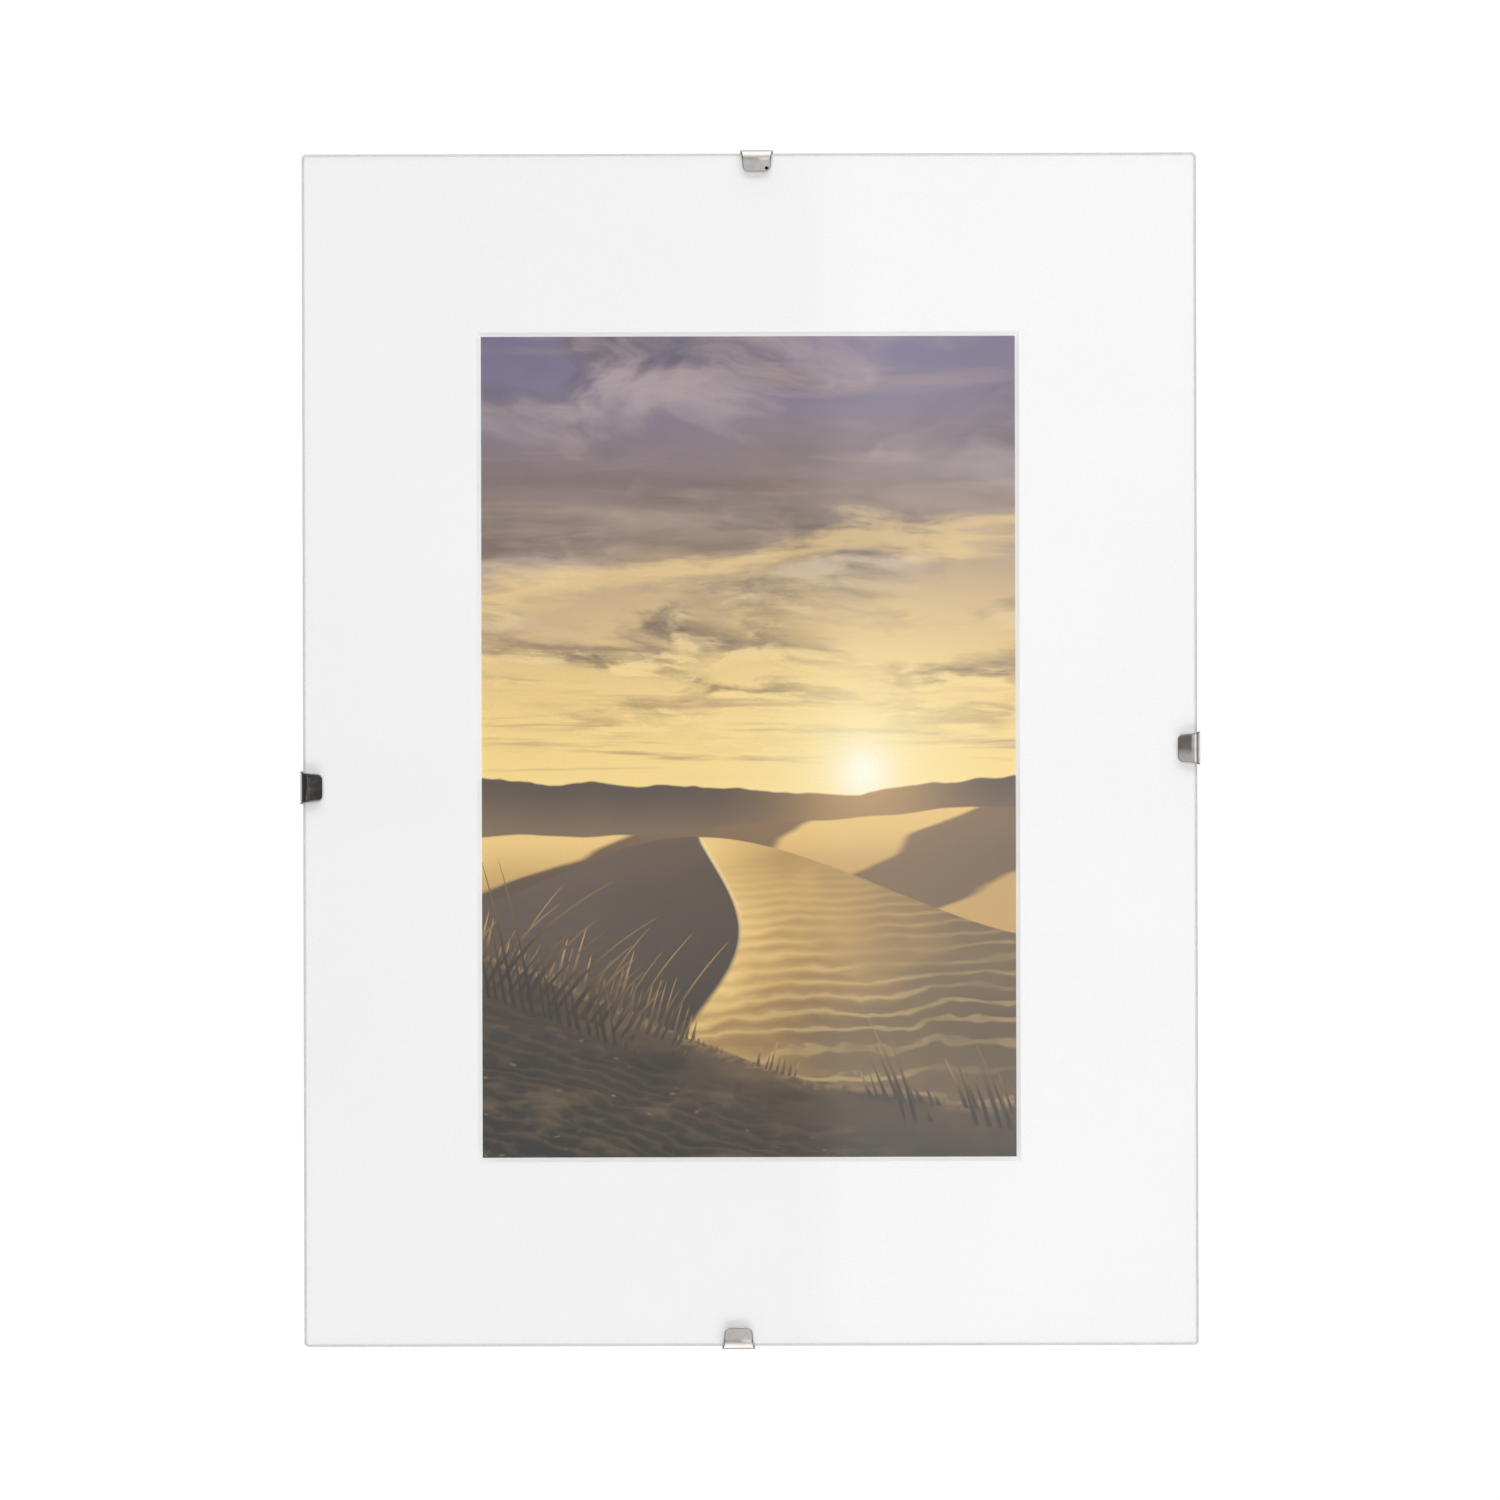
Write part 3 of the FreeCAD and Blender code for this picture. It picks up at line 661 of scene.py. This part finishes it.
def mat_mesh():
    """The window mat: front face, 45 degree bevel, back and outer edges, with a softened front rim at the bevel."""
    bm = bmesh.new()
    w, h = (MAT_HI.x - MAT_LO.x) / 2, (MAT_HI.z - MAT_LO.z) / 2
    front, back = MAT_LO.y, MAT_HI.y
    thick = back - front
    soft = 0.06 * MM

    def window(grow, y):
        a, b = WINDOW_W / 2 + grow, WINDOW_H / 2 + grow
        return [bm.verts.new((WINDOW_X + px, y, WINDOW_Z + pz)) for px, pz in ((-a, -b), (a, -b), (a, b), (-a, b))]

    def outer(inset, y):
        a, b = w - inset, h - inset
        return [bm.verts.new((px, y, CZ + pz)) for px, pz in ((-a, -b), (a, -b), (a, b), (-a, b))]

    loops = [
        (window(0.0, back), 1), (window(thick - soft, front + soft), 1), (window(thick + soft * 0.6, front), 0),
        (outer(soft, front), 1), (outer(0.0, front + soft), 1), (outer(0.0, back), 1),
    ]
    n = len(loops)
    for k in range(n):
        a, material = loops[k]
        b = loops[(k + 1) % n][0]
        for i in range(4):
            j = (i + 1) % 4
            f = bm.faces.new((a[i], a[j], b[j], b[i]))
            f.material_index = 0 if k == 2 or k == n - 1 else 1
    bmesh.ops.recalc_face_normals(bm, faces=bm.faces)
    mesh = bpy.data.meshes.new("mat")
    bm.to_mesh(mesh)
    bm.free()
    return mesh


class Path:
    """Straight runs joined by arcs, in (u, y), measured along their length."""

    def __init__(self, points, radii):
        self.parts, self.length = [], 0.0
        n = len(points)
        p = [Vector(q) for q in points]
        last = p[0]
        for i in range(1, n - 1):
            a, b = (p[i] - p[i - 1]).normalized(), (p[i + 1] - p[i]).normalized()
            turn = math.atan2(a.x * b.y - a.y * b.x, a.dot(b))
            r = radii[i - 1]
            cut = r * math.tan(abs(turn) / 2)
            start, end = p[i] - a * cut, p[i] + b * cut
            self._line(last, start)
            side = 1 if turn > 0 else -1
            centre = start + Vector((-a.y, a.x)) * (side * r)
            self.parts.append(("arc", centre, r, start - centre, turn, self.length))
            self.length += r * abs(turn)
            last = end
        self._line(last, p[-1])

    def _line(self, a, b):
        self.parts.append(("line", a, b, None, None, self.length))
        self.length += (b - a).length

    def at(self, d):
        """(place, direction) at a distance along the path."""
        d = min(max(d, 0.0), self.length)
        part = [q for q in self.parts if q[5] <= d + 1e-12][-1]
        along = d - part[5]
        if part[0] == "line":
            way = (part[2] - part[1]).normalized()
            return part[1] + way * along, way
        _, centre, r, arm, turn, _ = part
        a = math.copysign(along / r, turn)
        spoke = Vector((arm.x * math.cos(a) - arm.y * math.sin(a), arm.x * math.sin(a) + arm.y * math.cos(a)))
        s = 1 if turn > 0 else -1
        return centre + spoke, Vector((-spoke.y, spoke.x)).normalized() * s

    def stations(self, step, fine):
        """Distances along the path: every step on the runs, every fine degrees on the arcs."""
        out = []
        for k, q in enumerate(self.parts):
            end = self.parts[k + 1][5] if k + 1 < len(self.parts) else self.length
            size = end - q[5]
            n = max(1, math.ceil(size / step)) if q[0] == "line" else max(2, math.ceil(math.degrees(abs(q[4])) / fine))
            out += [q[5] + size * i / n for i in range(n)]
        return out + [self.length]


CLIP_T = 0.5
Y_GLASS = GLASS_LO.y / MM
Y_BACK = BOARD_HI.y / MM
LIP_REACH, LIP_REACH_SIDE, WALL_U, HOOK_U = 6.1, 6.6, 0.85, 22.95


def clip_path(reach):
    """The clip strip's middle line, as in the model: lip tip, crest, rear bend, bearing line, hook bend, hook end."""
    half = CLIP_T / 2
    points = [
        (-reach, Y_GLASS - half - 0.06), (WALL_U, Y_GLASS - half - 1.33),
        (WALL_U, Y_BACK + half + 1.05), (-12.4, Y_BACK + half + 0.06), (-HOOK_U, Y_BACK + half + 0.75), (-HOOK_U, Y_BACK - 2.35),
    ]
    radii = [2.4, 1.15, 12.0, 0.75]
    a = (Vector(points[3]) - Vector(points[2])).normalized()
    b = (Vector(points[4]) - Vector(points[3])).normalized()
    x, y = points[3]
    points[3] = (x, y - radii[2] * (1 / math.cos(a.angle(b) / 2) - 1))
    return Path(points, radii)


def smoothed(x, lo, hi):
    v = min(max((x - lo) / (hi - lo), 0.0), 1.0)
    return v * v * (3 - 2 * v)


def clip_width(u, front, reach):
    """The strip's width where it stands at u from the glass edge."""
    if front:
        if u > 0.95:
            return 11.0
        if u > -0.45:
            return 9.9 + 1.1 * smoothed(u, -0.55, 1.00)
        return 9.0 + 0.9 * (u + reach) / (reach - 0.45)
    return 9.0 + 2.0 * smoothed(u, -13.6, -7.1)


def clip_mesh(name, turn, place, reach):
    """A clip as a bent strip with softened edges, rounded lip corners and a slightly crowned lip."""
    path = clip_path(reach)
    rc, roll, tip_r, end_r = 0.16, 0.22, 1.6, 0.12
    stations = path.stations(0.8, 6.0)
    # closer stations where the tip's corners are round
    extra = [tip_r * 1.02 * (1 - math.cos(math.pi / 2 * k / 14)) for k in range(1, 15)] + [end_r * 0.12, end_r * 0.4, end_r * 0.75]
    extra += [path.length - e for e in (end_r * 0.12, end_r * 0.4, end_r * 0.75, end_r, end_r * 2)]
    stations = sorted(set(round(v, 5) for v in stations + extra))
    across, arc = 14, 6
    crest_s, wall_s = path.parts[1][5], path.parts[2][5]
    bm = bmesh.new()
    rings = []
    for d in stations:
        p, way = path.at(d)
        out = Vector((way.y, -way.x))  # away from the glass and the board
        front = p.y < (Y_GLASS + Y_BACK) / 2
        w = clip_width(p.x, front, reach) / 2
        if d < tip_r:
            w -= tip_r - math.sqrt(max(tip_r ** 2 - (tip_r - d) ** 2, 0.0))
        t = CLIP_T / 2
        near_end = min(d, path.length - d)
        if near_end < end_r:
            k = math.sqrt(max(1 - (1 - near_end / end_r) ** 2, 0.0))
            t = t - end_r + end_r * k
            w = max(w - end_r + end_r * k, 0.5)
        r = min(rc, t * 0.98, w * 0.5)
        rx = min(roll if front else rc, w * 0.5)
        crown = 0.12 * (1 - smoothed(d, crest_s - 0.3, wall_s))
        section = []
        for i in range(across + 1):
            section.append((-(w - rx) + 2 * (w - rx) * i / across, t))
        for i in range(1, arc):
            a = math.pi / 2 * i / arc
            section.append((w - rx + rx * math.sin(a), t - r + r * math.cos(a)))
        section.append((w, t - r))
        section.append((w, -(t - r)))
        for i in range(1, arc):
            a = math.pi / 2 * i / arc
            section.append((w - r + r * math.cos(a), -(t - r) - r * math.sin(a)))
        for i in range(across + 1):
            section.append((w - r - 2 * (w - r) * i / across, -t))
        for i in range(1, arc):
            a = math.pi / 2 * i / arc
            section.append((-(w - r) - r * math.sin(a), -(t - r) - r * math.cos(a)))
        section.append((-w, -(t - r)))
        section.append((-w, t - r))
        for i in range(1, arc):
            a = math.pi / 2 * i / arc
            section.append((-(w - rx) - rx * math.cos(a), t - r + r * math.sin(a)))
        full = clip_width(p.x, front, reach) / 2
        ring = []
        for v, n in section:
            q = p + out * (n + crown * (1 - (v / full) ** 2))
            ring.append(bm.verts.new((v * MM, q.y * MM, q.x * MM)))
        rings.append(ring)
    size = len(rings[0])
    under = across + 1 + 2 * arc
    for d, a, b in zip(stations, rings, rings[1:]):
        for i in range(size):
            j = (i + 1) % size
            f = bm.faces.new((a[i], a[j], b[j], b[i]))
            cut = across <= i < under or i >= under + across or d < end_r * 0.9 or d > path.length - end_r
            f.material_index = 1 if cut else 0
    for ring in (list(reversed(rings[0])), rings[-1]):
        bm.faces.new(ring).material_index = 1
    bmesh.ops.recalc_face_normals(bm, faces=bm.faces)
    bm.transform(Matrix.Translation(place) @ Matrix.Rotation(math.radians(turn), 4, "Y"))
    mesh = bpy.data.meshes.new(name)
    bm.to_mesh(mesh)
    bm.free()
    shade(mesh, 50)
    return mesh


# ------------------------------------------------------------------ build the pieces
NICKEL = nickel("nickel_plate")
# the top clip's plate, with a dark spot on its lip
NICKEL_SPOTTED = nickel("nickel_plate_spotted", mark=(5.95 * MM, CZ + 194.85 * MM))
# the left clip's plate, with a painted dark reflection along its crest
NICKEL_DARK_REFLECTION = nickel("nickel_plate_painted_reflection", dark_reflection=(GLASS_LO.x + 1.75 * MM, 0.55 * MM))
# sheared edges are bare steel, duller and rougher than the plate; their near-black colour is painted shade that draws
# dark lines along the clips' sides
EDGE_STEEL_PAINTED_SHADE = nickel("sheared_edge_painted_shade", base=(0.20, 0.19, 0.182), rough=0.28)
ZINC = zinc("zinc_plate")
RIVET = rivet_steel("rivet_steel")
MAT_FACE, MAT_CORE = mat_board("mat_face"), mat_core("mat_core")
CLEAR, GROUND = clear_glass("clear_glass"), ground_glass("ground_glass")

piece("glass", glass_mesh(), "panel", "glass_sheet", (CLEAR, GROUND))
piece("mat", mat_mesh(), "panel", "window_mat", (MAT_FACE, MAT_CORE))

HALF_W, HALF_H = (GLASS_HI.x - GLASS_LO.x) / 2, (GLASS_HI.z - GLASS_LO.z) / 2
CLIPS = {
    "clip_top": (0, Vector((2.65 * MM, 0, CZ + HALF_H)), LIP_REACH),
    "clip_right": (90, Vector((HALF_W, 0, CZ + 0.2 * MM)), LIP_REACH_SIDE),
    "clip_bottom": (180, Vector((-4.35 * MM, 0, CZ - HALF_H)), LIP_REACH),
    "clip_left": (270, Vector((-HALF_W, 0, CZ - 12.45 * MM)), LIP_REACH_SIDE),
}
for node, (turn, place, reach) in CLIPS.items():
    plate = {"clip_top": NICKEL_SPOTTED, "clip_left": NICKEL_DARK_REFLECTION}.get(node, NICKEL)
    piece("spring_" + node, clip_mesh("spring_" + node, turn, place, reach), node, node, (plate, EDGE_STEEL_PAINTED_SHADE))


def dress(node, material, bevel=None):
    """Gives a carried-over node its finish, and a small bevel so that its edges catch the light."""
    o = frame["nodes"][node]
    o.data.materials.clear()
    o.data.materials.append(material)
    if bevel:
        b = o.modifiers.new("edge", "BEVEL")
        b.width, b.segments, b.limit_method, b.angle_limit = bevel, 2, "ANGLE", math.radians(40)
    return o


dress("picture_print", picture("dune_print"))
dress("print_tapes", paper_tape("paper_tape"))
dress("back_board", hardboard("hardboard"))
for which in ("portrait", "landscape"):
    dress("hanger_" + which, ZINC, 0.09 * MM)
    dress("hanger_rivets_" + which, RIVET)

# ------------------------------------------------------------------ light and camera
def light(name, place, aim, size, power, colour=(1, 1, 1), camera=False):
    d = bpy.data.lights.new(name, "AREA")
    d.shape, d.size, d.size_y = "RECTANGLE", size[0], size[1]
    d.energy, d.color = power, colour
    o = bpy.data.objects.new(name, d)
    o.location = place
    o.rotation_mode = "QUATERNION"
    o.rotation_quaternion = (Vector(aim) - Vector(place)).to_track_quat("-Z", "Y")
    o.visible_camera = camera
    o.visible_glossy = False
    o.visible_transmission = False
    bpy.context.scene.collection.objects.link(o)
    return o


def world():
    """White to the camera. To everything else a light tent with the things that a photographer's studio has in front of it."""
    w = bpy.data.worlds.new("studio")
    bpy.context.scene.world = w
    t = Tree(w)
    x, y, z = t.parts(t.node("TexCoord").outputs["Generated"])
    # angles of a direction, in degrees: across from straight ahead of the glass (-Y), and up
    across = t.math("ARCTAN2", x, -y) * (180 / math.pi)
    up = t.math("ARCSINE", z) * (180 / math.pi)
    tilt, side = t.absolute(up), t.absolute(across)
    # two large soft boxes, one over and one under the camera, and grey between them
    value = t.smooth(tilt, 9.0, 66.0, 0.66, 1.42) * t.smooth(y, 0.0, 0.4, 1.0, 0.86)
    # behind, the ceiling and the floor are dim
    value = t.linear(t.smooth(y, 0.30, 0.66) * t.smooth(z, 0.20, 0.45), 0.0, 1.0, value, 0.34)
    value = t.linear(t.smooth(y, 0.20, 0.60) * t.smooth(z, -0.20, -0.45), 0.0, 1.0, value, 0.36)
    # the room at the sides: dim, but for a pale wall on the right and what stands behind
    level = t.smooth(tilt, 34.0, 15.0)
    walls = t.smooth(side, 14.0, 30.0) * level
    pale = t.smooth(across, 17.0, 24.0) * t.smooth(across, 60.0, 46.0)
    behind = t.smooth(side, 84.0, 108.0)
    room = 0.30 + pale * 0.75 + behind * 0.62
    value = t.linear(walls, 0.0, 1.0, value, room)
    # all along the left it is nearly dark at the camera's height
    left = t.smooth(across, -14.0, -20.0) * t.smooth(across, -128.0, -58.0) * t.smooth(tilt, 19.0, 11.0)
    value = t.linear(left, 0.0, 1.0, value, 0.045)
    # a dark door to the left of the camera, lighter below, and a black flag to its right
    door = t.smooth(across, -8.5, -9.5) * t.smooth(across, -22.0, -19.0) * t.smooth(tilt, 12.0, 8.0)
    value = t.linear(door, 0.0, 1.0, value, t.smooth(up, -3.2, 0.2, 0.52, 0.17))
    flag = t.smooth(across, 8.5, 9.5) * t.smooth(across, 19.0, 16.0) * t.smooth(tilt, 11.5, 8.5)
    value = t.linear(flag, 0.0, 1.0, value, 0.055)
    # the camera's own dim corner, which the glass mirrors, with a pale stand in its right half
    ahead = t.smooth(side, 8.9, 8.2) * t.smooth(tilt, 10.6, 9.5)
    stand = t.smooth(across, 0.55, 1.9) * t.smooth(across, 8.2, 7.6)
    shelf = t.smooth(t.absolute(up + 0.6), 0.9, 0.35)
    value = t.linear(ahead, 0.0, 1.0, value, 0.52 + stand * 0.47 - shelf * 0.12)
    path = t.node("LightPath")
    seen = Num(t, path.outputs["Is Camera Ray"])
    spread = Num(t, path.outputs["Is Diffuse Ray"])
    shown = seen * 1.05 + (1.0 - seen) * value * (1.0 - spread * 0.68)
    bg = t.node("Background")
    t.put(shown, bg.inputs["Strength"])
    bg.inputs["Color"].default_value = (1, 1, 1, 1)
    out = t.node("OutputWorld")
    t.nt.links.new(bg.outputs[0], out.inputs["Surface"])


world()
light("soft_top", (0.15, -1.10, 1.00), (0, 0, CZ), (1.4, 0.6), 8.0)
light("soft_low", (0.25, -1.00, -1.30), (0, 0, CZ), (1.4, 0.5), 7.5)
light("soft_front", (0.0, -2.5, CZ + 0.1), (0, 0, CZ), (1.2, 1.2), 30.5)
light("rear_top", (-0.3, 1.1, 0.9), (0, 0, CZ), (1.2, 0.8), 14.0)
light("rear_fill", (0.6, 1.9, -0.2), (0, 0, CZ), (1.4, 1.4), 18.0)

PX_PER_MM = 2.983
LENS = 85.0
DISTANCE = 1500 / PX_PER_MM * MM * LENS / 36.0
cam_data = bpy.data.cameras.new("camera")
cam_data.lens, cam_data.sensor_width = LENS, 36.0
cam_data.clip_start, cam_data.clip_end = 0.05, 50.0
cam = bpy.data.objects.new("camera", cam_data)
bpy.context.scene.collection.objects.link(cam)
cam.location = (-0.00005, GLASS_LO.y - DISTANCE, CZ - 0.0001)
cam.rotation_euler = (math.radians(90), math.radians(0.14), 0)
bpy.context.scene.camera = cam
bpy.context.scene.view_settings.view_transform = "Standard"
bpy.context.scene.view_settings.look = "None"
